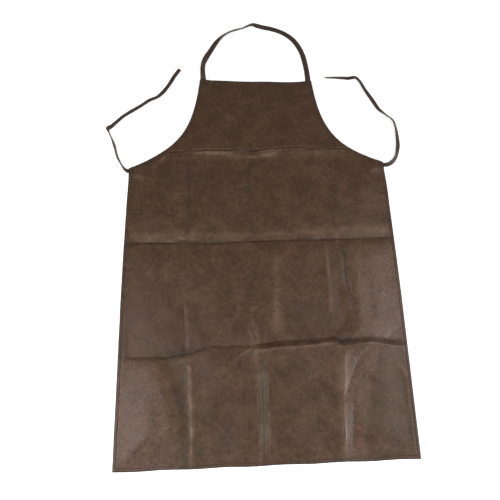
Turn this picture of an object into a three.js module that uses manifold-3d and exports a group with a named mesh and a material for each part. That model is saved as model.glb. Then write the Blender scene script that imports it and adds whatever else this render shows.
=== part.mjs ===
// A leather welding apron, laid flat with its front face up.
// Millimetres. X runs across the apron, Y from the bottom hem to the bib, Z out of the front face.
// The origin is under the middle of the panel. The panel is two rigid halves joined at its middle
// crease, and the neck strap and the two waist ties fold over the edges that they are sewn to.

import * as THREE from 'three';
import { mergeVertices } from 'three/addons/utils/BufferGeometryUtils.js';
import Module from 'manifold-3d';

const wasm = await Module();
wasm.setup();

// Panel outline
const APRON_LENGTH = 900;
const APRON_WIDTH = 600;
const BIB_WIDTH = 276;
const SIDE_LENGTH = 664;
const CREASE_HEIGHT = 472;
const ARMHOLE_WAIST_PULL = new THREE.Vector2(-109, 48);
const ARMHOLE_BIB_PULL = new THREE.Vector2(17, -154);
const ARMHOLE_STEPS = 28;

// Leather and its turned hem, which lies behind the panel
const PANEL_THICKNESS = 1.5;
const HEM_THICKNESS = 1.5;
const HEM_WIDTH = 14;
const CREASE_GAP = 0.3;

// Seams: a thread run on the front face, along every edge
const SEAM_INSET = 6.5;
const THREAD_WIDTH = 0.8;
const THREAD_HEIGHT = 0.5;
const SEAM_END_GAP = 1;

// Straps: flat leather strips, sewn behind the hem at one end (ties) or at both (neck strap)
const STRAP_WIDTH = 12.5;
const STRAP_THICKNESS = 1.5;
const STRAP_EDGE_CHAMFER = 0.35;
const NECK_STRAP_STEPS = 30;
const TIE_STEPS = 25;
const FIT_GAP = 0.3;
const TAB_LENGTH = 24;
const NECK_TAB_INSET = 1.75;
const TIE_TAB_DROP = 2.25;

// Bartacks: the dense stitches that hold each strap's sewn end
const BARTACK_LENGTH = 9;
const BARTACK_WIDTH = 1.8;
const BARTACK_INSET = 11;
const NECK_BARTACK_SHIFT = 3;

const FRONT = HEM_THICKNESS + PANEL_THICKNESS;
const HALF_WIDTH = APRON_WIDTH / 2;
const HALF_BIB = BIB_WIDTH / 2;
const NECK_EXIT_X = HALF_BIB - STRAP_WIDTH / 2 - NECK_TAB_INSET;
const TIE_EXIT_Y = SIDE_LENGTH - STRAP_WIDTH / 2 - TIE_TAB_DROP;

// Strap routes. Each point is [x, y, roll]: millimetres from where the strap leaves the panel,
// and the roll of the strap about its run, in degrees, 0 flat and 90 standing on its edge.
// The neck strap is measured from the middle of the bib's top edge.
const NECK_STRAP_ROUTE = [
  [-130, 0.3, 0], [-130, 6, 0], [-130.5, 14, 0], [-131.5, 35, 8], [-131, 57, 25], [-124, 77, 20],
  [-110, 101, 15], [-94, 127, 45], [-82, 140, 70], [-66, 151, 85], [-48, 159, 88], [-30, 164, 85],
  [-13, 173, 60], [-3, 176.5, 30], [8, 173, 8], [20, 167.5, 0], [40, 160, 0], [64, 150, 0], [84, 136, 0],
  [97, 122, 0], [106, 107, 0], [113, 91, 0], [118, 75, 0], [122, 57, 0], [126, 38, 0],
  [129, 18, 0], [130, 6, 0], [130, 0.3, 0],
];
const LEFT_TIE_ROUTE = [
  [-0.3, 0, 0], [-4, 0, 0], [-8, 2.5, 8], [-14, 10, 30], [-20, 20, 60], [-26, 34, 80], [-34, 55, 85],
  [-39, 71, 85], [-46, 87, 85], [-53, 107, 75], [-56, 117, 50], [-50, 123.5, 25], [-41, 132, 12],
  [-21, 152, 8], [-1, 167, 5], [20, 181, 0], [42, 198, 0], [60, 206, 8], [75, 221, 4],
  [90, 241, 0], [102, 267, 0], [114, 287, 0],
];
const RIGHT_TIE_ROUTE = [
  [0.3, 0, 0], [4, 0, 0], [8, 2, 5], [15, 9, 25], [22, 15, 60], [30, 21, 85], [38, 36, 60], [43, 53, 35],
  [43, 80, 15], [42, 102, 20], [36, 124, 25], [21, 139, 15], [5, 156, 10], [-7, 183, 0],
  [-24, 213, 0], [-36, 240, 5], [-45, 250, 10], [-63, 248, 5], [-83, 249, 8], [-101, 249.5, 5],
  [-121, 249, 0],
];

const LEATHER = new THREE.MeshStandardMaterial({ color: 0x574436, roughness: 0.48, metalness: 0 });
const STRAP_LEATHER = new THREE.MeshStandardMaterial({ color: 0x463d36, roughness: 0.6, metalness: 0 });
const THREAD = new THREE.MeshStandardMaterial({ color: 0x2b211a, roughness: 0.8, metalness: 0 });

const apron = new THREE.Group();
apron.position.set(0, -APRON_LENGTH / 2, 0);

function addPiece(name, geometry, material) {
  const mesh = new THREE.Mesh(geometry, material);
  mesh.name = name;
  apron.add(mesh);
  return mesh;
}

// A flat slab with the given outline, from one height up to another.
function slab(shape, bottom, top) {
  const geometry = new THREE.ExtrudeGeometry(shape, { depth: top - bottom, bevelEnabled: false });
  geometry.translate(0, 0, bottom);
  return geometry;
}

function toSolid(geometry) {
  const bare = geometry.clone();
  bare.deleteAttribute('normal');
  bare.deleteAttribute('uv');
  const merged = mergeVertices(bare);
  return new wasm.Manifold(new wasm.Mesh({
    numProp: 3,
    vertProperties: new Float32Array(merged.attributes.position.array),
    triVerts: new Uint32Array(merged.index.array),
  }));
}

function toGeometry(solid) {
  const mesh = solid.getMesh();
  const geometry = new THREE.BufferGeometry();
  geometry.setAttribute('position', new THREE.BufferAttribute(mesh.vertProperties, 3));
  geometry.setIndex(new THREE.BufferAttribute(mesh.triVerts, 1));
  geometry.computeVertexNormals();
  return geometry;
}

function rectangle(left, bottom, right, top) {
  return new THREE.Shape([
    new THREE.Vector2(left, bottom),
    new THREE.Vector2(right, bottom),
    new THREE.Vector2(right, top),
    new THREE.Vector2(left, top),
  ]);
}

// Points along the right armhole, from the waist corner to the bib corner, moved into the leather.
function armholePoints(inset) {
  const waist = new THREE.Vector2(HALF_WIDTH, SIDE_LENGTH);
  const bib = new THREE.Vector2(HALF_BIB, APRON_LENGTH);
  const waistHandle = waist.clone().add(ARMHOLE_WAIST_PULL);
  const bibHandle = bib.clone().add(ARMHOLE_BIB_PULL);
  const curve = new THREE.CubicBezierCurve(waist, waistHandle, bibHandle, bib);
  const points = [];
  for (let i = 0; i <= ARMHOLE_STEPS; i += 1) {
    const point = curve.getPoint(i / ARMHOLE_STEPS);
    const along = curve.getTangent(i / ARMHOLE_STEPS);
    points.push(new THREE.Vector2(point.x - along.y * inset, point.y + along.x * inset));
  }
  return points;
}

// Outline of the half above the crease, moved in from every edge but the crease.
function upperOutline(inset, bottom) {
  const side = HALF_WIDTH - inset;
  const top = APRON_LENGTH - inset;
  const inside = (point) => point.x <= side && point.y <= top;
  const armhole = armholePoints(inset).filter(inside);
  const right = [
    new THREE.Vector2(side, bottom),
    new THREE.Vector2(side, Math.min(armhole[0].y, SIDE_LENGTH)),
    ...armhole.filter((point) => point.x < side && point.y < top),
    new THREE.Vector2(armhole[armhole.length - 1].x, top),
  ];
  const left = right.map((point) => new THREE.Vector2(-point.x, point.y)).reverse();
  return new THREE.Shape([...right, ...left]);
}

// The turned hem is the panel's own leather, so each half is one body with a thicker rim.
function panelHalf(outer, inner) {
  const face = toSolid(slab(outer, HEM_THICKNESS, FRONT));
  const rim = toSolid(slab(outer, 0, HEM_THICKNESS));
  const hollow = toSolid(slab(inner, -HEM_THICKNESS, HEM_THICKNESS));
  return face.add(rim.subtract(hollow));
}

function addLowerPanel() {
  const top = CREASE_HEIGHT - CREASE_GAP / 2;
  const outer = rectangle(-HALF_WIDTH, 0, HALF_WIDTH, top);
  const side = HALF_WIDTH - HEM_WIDTH;
  const inner = rectangle(-side, HEM_WIDTH, side, top + HEM_WIDTH);
  addPiece('panel_lower', toGeometry(panelHalf(outer, inner)), LEATHER);
}

// Where each strap's sewn end lies behind the hem: a box from the panel's edge inwards.
function neckTabBox(side, margin) {
  const centre = side * NECK_EXIT_X;
  const reach = STRAP_WIDTH / 2 + margin;
  return [centre - reach, APRON_LENGTH - TAB_LENGTH - margin, centre + reach, APRON_LENGTH];
}

function tieTabBox(side, margin) {
  const edge = side * HALF_WIDTH;
  const end = side * (HALF_WIDTH - TAB_LENGTH - margin);
  const reach = STRAP_WIDTH / 2 + margin;
  return [Math.min(edge, end), TIE_EXIT_Y - reach, Math.max(edge, end), TIE_EXIT_Y + reach];
}

function pocket(box) {
  return toSolid(slab(rectangle(...box), -HEM_THICKNESS, HEM_THICKNESS));
}

function addUpperPanel() {
  const bottom = CREASE_HEIGHT + CREASE_GAP / 2;
  const outer = upperOutline(0, bottom);
  const inner = upperOutline(HEM_WIDTH, bottom - HEM_WIDTH);
  let solid = panelHalf(outer, inner);
  for (const side of [-1, 1]) {
    solid = solid.subtract(pocket(openBox(neckTabBox(side, FIT_GAP), 0, 1)));
    solid = solid.subtract(pocket(openBox(tieTabBox(side, FIT_GAP), side, 0)));
  }
  addPiece('panel_upper', toGeometry(solid), LEATHER);
}

// A box run out past the panel's edge, so that the cut leaves the pocket open there.
function openBox([left, bottom, right, top], outX, outY) {
  return [
    left + Math.min(outX, 0) * HEM_WIDTH,
    bottom,
    right + Math.max(outX, 0) * HEM_WIDTH,
    top + outY * HEM_WIDTH,
  ];
}

function addTabs() {
  for (const [name, side] of [['left', -1], ['right', 1]]) {
    const neckTab = slab(rectangle(...neckTabBox(side, 0)), 0, HEM_THICKNESS);
    const tieTab = slab(rectangle(...tieTabBox(side, 0)), 0, HEM_THICKNESS);
    addPiece(`neck_strap_${name}_end`, neckTab, STRAP_LEATHER);
    addPiece(`${name}_tie_sewn_end`, tieTab, STRAP_LEATHER);
  }
}

function addStraightSeam(name, x0, y0, x1, y1) {
  const half = THREAD_WIDTH / 2;
  const left = Math.min(x0, x1) - half * (x0 === x1);
  const right = Math.max(x0, x1) + half * (x0 === x1);
  const bottom = Math.min(y0, y1) - half * (y0 === y1);
  const top = Math.max(y0, y1) + half * (y0 === y1);
  addPiece(name, slab(rectangle(left, bottom, right, top), FRONT, FRONT + THREAD_HEIGHT), THREAD);
}

function addArmholeSeam(name, side) {
  const half = THREAD_WIDTH / 2;
  const middle = armholePoints(SEAM_INSET);
  const outerLine = armholePoints(SEAM_INSET - half);
  const innerLine = armholePoints(SEAM_INSET + half);
  const lastX = HALF_WIDTH - SEAM_INSET - SEAM_END_GAP;
  const lastY = APRON_LENGTH - SEAM_INSET - SEAM_END_GAP;
  const kept = [...middle.keys()].filter((i) => middle[i].x < lastX && middle[i].y < lastY);
  const loop = [...kept.map((i) => outerLine[i]), ...kept.map((i) => innerLine[i]).reverse()];
  const shape = new THREE.Shape(loop.map((point) => new THREE.Vector2(side * point.x, point.y)));
  addPiece(name, slab(shape, FRONT, FRONT + THREAD_HEIGHT), THREAD);
}

function addSeams() {
  const sideX = HALF_WIDTH - SEAM_INSET;
  const topY = APRON_LENGTH - SEAM_INSET;
  const cornerGap = THREAD_WIDTH + SEAM_END_GAP;
  const creaseGap = CREASE_GAP / 2;
  const armholeTop = armholePoints(SEAM_INSET)[ARMHOLE_STEPS];
  const waistTop = SIDE_LENGTH - SEAM_INSET - SEAM_END_GAP;
  addStraightSeam('bottom_hem_seam', -sideX, SEAM_INSET, sideX, SEAM_INSET);
  addStraightSeam('bib_top_seam', cornerGap - armholeTop.x, topY, armholeTop.x - cornerGap, topY);
  for (const [name, side] of [['left', -1], ['right', 1]]) {
    const x = side * sideX;
    addStraightSeam(`${name}_side_seam_lower`, x, SEAM_INSET + cornerGap, x, CREASE_HEIGHT - creaseGap);
    addStraightSeam(`${name}_side_seam_upper`, x, CREASE_HEIGHT + creaseGap, x, waistTop);
    addArmholeSeam(`${name}_armhole_seam`, side);
  }
}

function bartack(name, x, y, turn) {
  const straight = (BARTACK_LENGTH - BARTACK_WIDTH) / 2;
  const shape = new THREE.Shape();
  shape.absarc(straight, 0, BARTACK_WIDTH / 2, -Math.PI / 2, Math.PI / 2);
  shape.absarc(-straight, 0, BARTACK_WIDTH / 2, Math.PI / 2, (3 * Math.PI) / 2);
  const options = { depth: THREAD_HEIGHT, bevelEnabled: false, curveSegments: 6 };
  const geometry = new THREE.ExtrudeGeometry(shape, options);
  geometry.rotateZ(turn);
  geometry.translate(x, y, FRONT);
  addPiece(name, geometry, THREAD);
}

function addBartacks() {
  for (const [name, side] of [['left', -1], ['right', 1]]) {
    const neckX = side * (NECK_EXIT_X - NECK_BARTACK_SHIFT);
    bartack(`neck_strap_${name}_bartack`, neckX, APRON_LENGTH - BARTACK_INSET, 0);
    bartack(`${name}_tie_bartack`, side * (HALF_WIDTH - BARTACK_INSET), TIE_EXIT_Y, Math.PI / 2);
  }
}

// A strap's run. The strap rests on z = 0 whatever its roll, so its height follows from the roll.
class StrapRoute extends THREE.Curve {
  constructor(points, startX, startY) {
    super();
    const place = ([x, y]) => new THREE.Vector3(startX + x, startY + y, 0);
    this.run = new THREE.CatmullRomCurve3(points.map(place), false, 'centripetal');
    this.rolls = points.map(([, , roll]) => THREE.MathUtils.degToRad(roll));
  }

  rollAt(t) {
    const place = t * (this.rolls.length - 1);
    const before = Math.min(Math.floor(place), this.rolls.length - 2);
    return THREE.MathUtils.lerp(this.rolls[before], this.rolls[before + 1], place - before);
  }

  getPoint(t, target = new THREE.Vector3()) {
    const roll = this.rollAt(t);
    this.run.getPoint(t, target);
    target.z = (Math.sin(roll) * STRAP_WIDTH + Math.cos(roll) * STRAP_THICKNESS) / 2;
    return target;
  }

  computeFrenetFrames(segments) {
    const up = new THREE.Vector3(0, 0, 1);
    const frames = { tangents: [], normals: [], binormals: [] };
    for (let i = 0; i <= segments; i += 1) {
      const t = this.getUtoTmapping(i / segments);
      const tangent = this.run.getTangent(t);
      const across = new THREE.Vector3().crossVectors(up, tangent).normalize();
      const normal = across.applyAxisAngle(tangent, this.rollAt(t));
      frames.tangents.push(tangent);
      frames.normals.push(normal);
      frames.binormals.push(new THREE.Vector3().crossVectors(tangent, normal));
    }
    return frames;
  }
}

function strapSection() {
  const x = STRAP_WIDTH / 2;
  const y = STRAP_THICKNESS / 2;
  const cut = STRAP_EDGE_CHAMFER;
  const corners = [
    [x, cut - y], [x, y - cut], [x - cut, y], [cut - x, y],
    [-x, y - cut], [-x, cut - y], [cut - x, -y], [x - cut, -y],
  ];
  return new THREE.Shape(corners.map(([a, b]) => new THREE.Vector2(a, b)));
}

function addStrap(name, points, startX, startY, steps) {
  const extrudePath = new StrapRoute(points, startX, startY);
  const geometry = new THREE.ExtrudeGeometry(strapSection(), { steps, extrudePath });
  addPiece(name, geometry, STRAP_LEATHER);
}

addLowerPanel();
addUpperPanel();
addTabs();
addSeams();
addBartacks();
addStrap('neck_strap', NECK_STRAP_ROUTE, 0, APRON_LENGTH, NECK_STRAP_STEPS);
addStrap('left_tie', LEFT_TIE_ROUTE, -HALF_WIDTH, TIE_EXIT_Y, TIE_STEPS);
addStrap('right_tie', RIGHT_TIE_ROUTE, HALF_WIDTH, TIE_EXIT_Y, TIE_STEPS);

export default apron;
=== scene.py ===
import math

import bpy
import numpy as np
from mathutils import Matrix, Vector


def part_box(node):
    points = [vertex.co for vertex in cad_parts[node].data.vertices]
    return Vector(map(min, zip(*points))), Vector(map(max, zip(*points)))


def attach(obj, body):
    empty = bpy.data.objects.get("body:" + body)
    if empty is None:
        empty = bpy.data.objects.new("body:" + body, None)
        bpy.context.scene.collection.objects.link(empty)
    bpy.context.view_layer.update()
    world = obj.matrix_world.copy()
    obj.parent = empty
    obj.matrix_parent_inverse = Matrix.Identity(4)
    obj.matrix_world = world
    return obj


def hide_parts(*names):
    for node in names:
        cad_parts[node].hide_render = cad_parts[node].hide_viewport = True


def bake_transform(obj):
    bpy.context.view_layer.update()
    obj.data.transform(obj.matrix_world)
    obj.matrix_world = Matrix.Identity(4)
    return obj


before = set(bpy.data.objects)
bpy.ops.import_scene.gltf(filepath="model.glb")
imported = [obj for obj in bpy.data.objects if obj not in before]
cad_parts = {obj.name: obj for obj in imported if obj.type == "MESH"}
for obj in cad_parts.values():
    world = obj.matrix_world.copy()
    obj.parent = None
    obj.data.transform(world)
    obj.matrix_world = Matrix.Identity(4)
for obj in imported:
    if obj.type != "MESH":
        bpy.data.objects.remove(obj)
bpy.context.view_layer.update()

# A leather apron lying flat, front up. Lengths are in metres. X runs across it, Y from the hem to
# the bib and Z out of its front, as in the frame.

# Places read from the frame
lower_low, lower_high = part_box("panel_lower")
upper_low, upper_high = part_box("panel_upper")
HEM_Y = lower_low[1]
CREASE_Y = (lower_high[1] + upper_low[1]) / 2
BIB_Y = upper_high[1]
HALF_WIDTH = upper_high[0]
neck_end_low, neck_end_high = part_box("neck_strap_right_end")
NECK_EXIT_X = (neck_end_low[0] + neck_end_high[0]) / 2
STRAP_WIDTH = neck_end_high[0] - neck_end_low[0]
SEWN_LENGTH = neck_end_high[1] - neck_end_low[1]
tie_end_low, tie_end_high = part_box("right_tie_sewn_end")
TIE_EXIT_Y = (tie_end_low[1] + tie_end_high[1]) / 2
seam_low, seam_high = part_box("right_side_seam_lower")
SEAM_INSET = HALF_WIDTH - (seam_low[0] + seam_high[0]) / 2

MM = 0.001

# Panel outline: the armhole is a curve from the waist corner to the bib corner. Each pull leads from a
# corner to the curve's handle.
HALF_BIB = 138 * MM
WAIST_Y = HEM_Y + 664 * MM
ARMHOLE_WAIST_PULL = np.array([-109, 48]) * MM
ARMHOLE_BIB_PULL = np.array([17, -154]) * MM

# Leather, hem and thread
PANEL_THICKNESS = 1.5 * MM
HEM_THICKNESS = 1.5 * MM
HEM_WIDTH = 14 * MM
EDGE_RADIUS = 1.7 * MM
STITCH_PITCH = 7.6 * MM
STITCH_LENGTH = 5.4 * MM
THREAD_DIAMETER = 1.3 * MM
THREAD_SIDES = 6

# Straps. STRAP_WIDTH above is the frame's, and these two are the widths that show.
NECK_WIDTH = 13.2 * MM
TIE_WIDTH = 10.5 * MM
STRAP_THICKNESS = 1.7 * MM
STRAP_STEP = 2.2 * MM

# The fold at the middle crease. Inside the hem, the front face stays under FOLD_ROOM there and may
# rise by FOLD_SLOPE away from it, so that it clears itself.
FOLD_ROOM = 4 * MM
FOLD_SLOPE = 0.10

# Camera, over the hem and aimed at the middle. The lens and the sensor are in millimetres.
CAMERA_AT = Vector((-0.0597, -0.5013, 1.2943))
CAMERA_AIM = Vector((-0.0224, 0.0022, 0.0))
CAMERA_ROLL = math.radians(2.83)
CAMERA_LENS = 45
SENSOR_WIDTH = 36

# Lights and floor. A softbox is (name, place, target, width, height, watts, colour).
WHITE = (1.0, 1.0, 1.0)
WARM = (1.0, 0.93, 0.89)
SOFTBOXES = [
    ("left_softbox", (-1.4, -0.6, 1.05), (0, 0.05, 0), 0.7, 0.9, 19, WHITE),
    ("right_softbox", (1.4, -0.4, 1.05), (0, 0.05, 0), 0.7, 0.9, 16, WHITE),
    ("front_softbox", (0.0, -1.7, 1.3), (0, 0.1, 0), 1.2, 0.5, 22, WHITE),
    ("overhead_softbox", (0.0, 0.05, 1.9), (0, 0.05, 0), 0.8, 0.3, 1.5, WHITE),
    ("left_sheen_softbox", (-0.85, -0.05, 1.8), (0, -0.2, 0), 0.4, 0.5, 5.0, WARM),
    ("right_sheen_softbox", (1.05, 0.32, 1.8), (0, -0.1, 0), 0.4, 0.4, 5.0, WARM),
]
WORLD_COLOUR = (1.0, 0.95, 0.91, 1)
WORLD_STRENGTH = 0.19
FLOOR_HALF = 3.0
FLOOR_Z = -0.2 * MM

# What is mixed into the leather's brown: abraded crests with painted highlights, painted shade in the
# creases and under folds, scuffs, and a painted sheen on the smoothed patches
# Painted highlight of the crests and of slopes that face the light, partly abraded leather
WORN_AND_HIGHLIGHT_COLOUR = (0.140, 0.084, 0.052, 1)
# Painted shade in the creases and under folds
PAINTED_SHADE_COLOUR = (0.014, 0.0065, 0.003, 1)
SCUFF = (0.115, 0.072, 0.040, 1)
# Painted sheen of the patches
GREYED_AND_SHEEN_COLOUR = (0.170, 0.096, 0.074, 1)

# Strap routes, in millimetres, with the roll of the strap in degrees: 0 flat, 90 on its edge.
# The neck strap is measured from the middle of the bib's top edge, a tie from where it leaves.
NECK_STRAP_ROUTE = [
    (-130, 0.3, 0), (-130, 6, 6), (-130.5, 14, 24), (-131.5, 35, 36), (-130, 52, 44), (-124, 72, 20),
    (-110, 101, -5), (-94, 127, -24), (-82, 140, -38), (-66, 151, -42), (-48, 159, -36),
    (-30, 164, -44), (-13, 173, -34), (-3, 176.5, -15), (8, 173, 0), (20, 167.5, 0), (40, 160, 0),
    (64, 150, 0), (84, 136, 0), (97, 122, 0), (106, 107, 0), (113, 91, 0), (118, 75, 0),
    (122, 57, 0), (126, 38, 0), (129, 18, 0), (130, 6, 0), (130, 0.3, 0),
]
LEFT_TIE_ROUTE = [
    (-0.3, 0, 0), (-4, 0, 15), (-8, 2.5, 40), (-14, 10, 66), (-20, 20, 74), (-27, 34, 64),
    (-33, 52, 74), (-38, 71, 62), (-44, 87, 74), (-52, 104, 84), (-56, 117, 50), (-50, 123.5, 10),
    (-41, 132, -14), (-21, 152, -20), (-1, 167, -14), (20, 181, -22), (42, 198, -16), (60, 206, -22),
    (75, 221, -10), (90, 241, -16), (104, 267, -8), (117, 287, -12),
]
RIGHT_TIE_ROUTE = [
    (0.3, 0, 0), (4, 0, 0), (9, 0, 4), (17, 3, 15), (25, 9, 35), (33, 20, 50), (39, 36, 35),
    (44, 53, 20), (45, 80, 34), (44, 102, 50), (39, 124, 44), (24, 139, 44), (9, 156, 16),
    (-4, 183, 4), (-20, 213, 26), (-32, 240, 30), (-40, 250, 20), (-58, 248, 10), (-78, 249, 22),
    (-96, 249.5, 32), (-115, 249, 42),
]

# How far the free part of each strap lies from its route, in millimetres: (x, y) for the whole neck
# strap, (x, y) more for its right side, and (x, y, more x at the tip) for each tie
NECK_SLIP = (1.5, -2)
NECK_RIGHT_SLIP = (2.5, 3.5)
LEFT_TIE_SLIP = (1.5, -3.5, -4.0)
RIGHT_TIE_SLIP = (-3.5, -3.0, 0.0)

# Where the seeds of each kind of noise start. Each crease or band adds its number in its list, so the
# order of both lists matters.
CREASE_WANDER_SEED = 50
CREASE_HEIGHT_SEED = 90
CREASE_MARK_SEED = 130
BAND_WANDER_SEED = 170
BAND_SPECKLE_SEED = 210
BAND_STRENGTH_SEED = 250
BAND_WIDTH_SEED = 290

# Creases left by packing: (height, reach to the left, reach to the right, points), in millimetres.
# A valley has a height below zero. Left and right are those of someone walking along the points.
CREASES = [
    (4.4, 4, 11, [(-214, 249), (-128, 250), (-23, 251), (3, 248), (34, 252), (74, 254), (216, 249)]),
    (-1.6, 3, 3, [(-214, 245), (-60, 246), (0, 243), (40, 247), (110, 250), (160, 247), (216, 245)]),
    (-6.4, 17, 4, [(-300, 21), (-251, 23), (-189, 21), (-164, 26), (-149, 17), (-45, 21), (79, 23),
                   (182, 23), (300, 25)]),
    (-2.8, 9, 4, [(-300, -231), (-201, -233), (-150, -224), (-106, -212), (-21, -214)]),
    (-3.0, 6, 5, [(-21, -212), (23, -206), (87, -203), (152, -198), (161, -206), (225, -200),
                  (272, -208), (300, -211)]),
    (5.8, 8, 16, [(-21, -219), (-6, -224), (23, -220), (87, -217), (152, -212), (161, -221),
                  (225, -214), (272, -222), (300, -225)]),
    (-1.9, 9, 6, [(-158, 232), (-160, 190), (-155, 127), (-159, 80), (-160, 33)]),
    (-1.6, 4, 10, [(-171, 14), (-172, -89), (-165, -133), (-160, -224)]),
    (3.2, 6, 5, [(-153, -245), (-150, -302), (-146, -374), (-148, -450)]),
    (-1.9, 8, 7, [(-17, 232), (-22, 180), (-20, 89), (-16, 25)]),
    (2.0, 4, 4, [(-22, -150), (-15, -185), (-7, -216)]),
    (-3.0, 6, 6, [(-8, -219), (-5, -249), (-5, -346), (-6, -450)]),
    (2.0, 9, 9, [(33, -6), (30, -90), (26, -186)]),
    (1.6, 5, 4, [(146, 17), (144, -120), (142, -151)]),
    (-3.2, 5, 6, [(182, 8), (184, -62), (189, -118), (192, -150)]),
    (-1.4, 9, 7, [(238, -4), (236, -80), (233, -164)]),
    (3.0, 7, 12, [(168, -228), (157, -330), (152, -450)]),
    (-3.2, 6, 5, [(177, -335), (171, -390), (167, -450)]),
    (-2.0, 6, 5, [(232, -223), (219, -227), (193, -249), (176, -286), (163, -320)]),
    (2.6, 3, 3, [(-50, -240), (-36, -226), (-22, -216)]),
    (-2.6, 3, 3, [(-60, -262), (-48, -244), (-32, -228)]),
    (1.2, 3, 3, [(-29, -176), (-21, -204), (-14, -220)]),
    (-1.6, 4, 4, [(255, -206), (280, -188), (300, -170)]),
    (1.6, 6, 6, [(46, -271), (70, -277), (95, -288)]),
    (1.5, 6, 6, [(97, -313), (110, -323), (120, -337)]),
    (1.6, 4, 4, [(268, -254), (282, -268), (292, -288)]),
    (-1.6, 5, 5, [(181, -290), (205, -292), (225, -290)]),
    (2.2, 4, 4, [(-27, -138), (-18, -131), (-8, -128)]),
    (2.6, 4, 4, [(-186, 34), (-170, 30), (-152, 24)]),
    (-1.6, 3, 3, [(-40, 243), (-22, 240), (-8, 243)]),
    (1.6, 5, 4, [(-244, 212), (-228, 232), (-211, 250)]),
]

# Bands of painted highlight where slopes face the light (above zero) and of painted shadow under folds
# and edges (below): (strength, half width in mm, points in mm)
BANDS = [
    (0.26, 8, [(-205, 232), (-120, 234), (60, 236), (190, 236)]),
    (0.75, 3, [(-150, 246), (-90, 244), (-52, 242)]),
    (0.75, 4, [(-52, 238), (-10, 236), (30, 239), (60, 243)]),
    (0.50, 3, [(60, 245), (130, 244), (190, 244)]),
    (-0.80, 2.4, [(-212, 251), (-128, 252), (3, 250), (74, 256), (150, 251), (216, 251)]),
    (-0.75, 3.0, [(-45, 247), (-20, 246), (6, 248)]),
    (-0.70, 2.6, [(110, 251), (160, 250), (212, 249)]),
    (0.95, 2.2, [(-212, 255), (-128, 256), (3, 254), (74, 260), (150, 255), (216, 255)]),
    (0.35, 9, [(124, 236), (140, 237), (158, 236)]),
    (0.42, 8, [(-290, 37), (-160, 40), (-40, 36), (80, 40), (182, 42)]),
    (0.50, 10, [(170, 42), (240, 44), (300, 44)]),
    (0.55, 5, [(-153, -240), (-150, -302), (-146, -374), (-148, -450)]),
    (0.42, 10, [(38, -12), (33, -90), (28, -190)]),
    (0.35, 3, [(146, 14), (144, -120), (142, -155)]),
    (0.30, 12, [(168, -226), (158, -330), (150, -450)]),
    (0.32, 3, [(-17, -226), (-14, -340), (-14, -450)]),
    (0.40, 3, [(5, -226), (5, -340), (4, -450)]),
    (0.60, 4, [(-24, -135), (-10, -129)]),
    (0.40, 5, [(-244, 210), (-224, 232), (-205, 246)]),
    (0.35, 3, [(-22, -140), (-17, -180), (-9, -214)]),
    (0.35, 3, [(-24, -228), (60, -220), (140, -217)]),
    (-0.60, 5, [(6, -213), (87, -210), (152, -205), (161, -213), (225, -207), (300, -218)]),
    (-0.45, 9, [(150, -202), (190, -204), (235, -204)]),
    (-0.45, 4, [(-218, -232), (-196, -234), (-170, -229), (-146, -225)]),
    (0.35, 4, [(-150, -238), (-180, -243), (-220, -241)]),
    (-0.50, 5, [(-206, -229), (-150, -221), (-110, -209)]),
    (-0.30, 8, [(-170, -300), (-168, -380), (-166, -450)]),
    (-0.50, 3.5, [(182, 6), (184, -62), (189, -118), (192, -150)]),
    (-0.30, 16, [(60, -150), (120, -160), (170, -150)]),
    (-0.32, 6, [(-158, 225), (-160, 190), (-155, 127), (-160, 33)]),
    (-0.42, 6, [(-17, 225), (-22, 180), (-20, 89), (-16, 30)]),
    (-0.25, 22, [(-230, 190), (-120, 190), (-60, 130)]),
    (-0.20, 18, [(-60, -330), (-90, -420)]),
    (-0.40, 5, [(176, -330), (171, -390), (167, -450)]),
    (-0.28, 9, [(-243, -285), (-226, -360), (-208, -445)]),
    (0.25, 5, [(-256, -370), (-240, -395), (-228, -425)]),
    (-0.90, 5, [(-300, 213), (-268, 226), (-240, 240), (-214, 256)]),
    (-0.25, 12, [(-286, -262), (-262, -300), (-250, -330)]),
    (-0.25, 9, [(186, -240), (196, -300), (200, -360)]),
    (-0.30, 6, [(-200, -236), (-186, -290), (-166, -340)]),
    (0.85, 2.5, [(-184, 36), (-166, 28), (-148, 20)]),
    (0.60, 2, [(-166, 35), (-146, 27)]),
    (-0.55, 2, [(-176, 21), (-160, 26), (-144, 20)]),
    (-0.60, 2, [(-36, -178), (-28, -204), (-21, -220)]),
    (0.60, 2.2, [(-29, -176), (-21, -204), (-14, -220)]),
    (-0.60, 2.2, [(-34, -226), (-46, -240), (-56, -254)]),
    (0.50, 2.5, [(-58, -246), (-42, -230), (-28, -220)]),
    (0.60, 2.5, [(140, -193), (150, -196), (158, -203)]),
    (-0.55, 3, [(146, -200), (154, -204), (166, -209)]),
    (-0.50, 4, [(150, -207), (190, -209), (236, -206)]),
    (-0.40, 4, [(60, -210), (100, -208), (136, -206)]),
    (0.50, 3, [(146, 46), (146, 30), (145, 14)]),
    (0.40, 3, [(170, 48), (172, 28), (173, 4)]),
    (0.40, 2.5, [(-52, 214), (-49, 226), (-50, 238)]),
    (-0.28, 4, [(238, -4), (236, -80), (233, -164)]),
    (0.30, 6, [(216, 0), (214, -80), (211, -160)]),
    (0.30, 5, [(262, -60), (258, -110), (246, -150)]),
]

# Parts that tilt to one side, are smoothed by use and carry a painted sheen: (rise towards X, rise
# towards Y, corners in mm)
PATCHES = [
    (0.040, 0.008, [(-300, -236), (-228, -239), (-194, -285), (-176, -341), (-166, -450), (-300, -450)]),
    (-0.040, -0.010, [(189, 8), (300, 6), (300, -206), (185, -204)]),
    (-0.030, 0.006, [(150, -300), (168, -228), (240, -225), (215, -300), (190, -446), (152, -446)]),
]

# Broad, low waves of leather that doesn't lie quite flat: (height in mm, size in metres, seed)
SWELLS = [(2.2, 0.15, 3), (1.2, 0.07, 4), (0.35, 0.03, 5), (0.10, 0.012, 6)]

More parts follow.
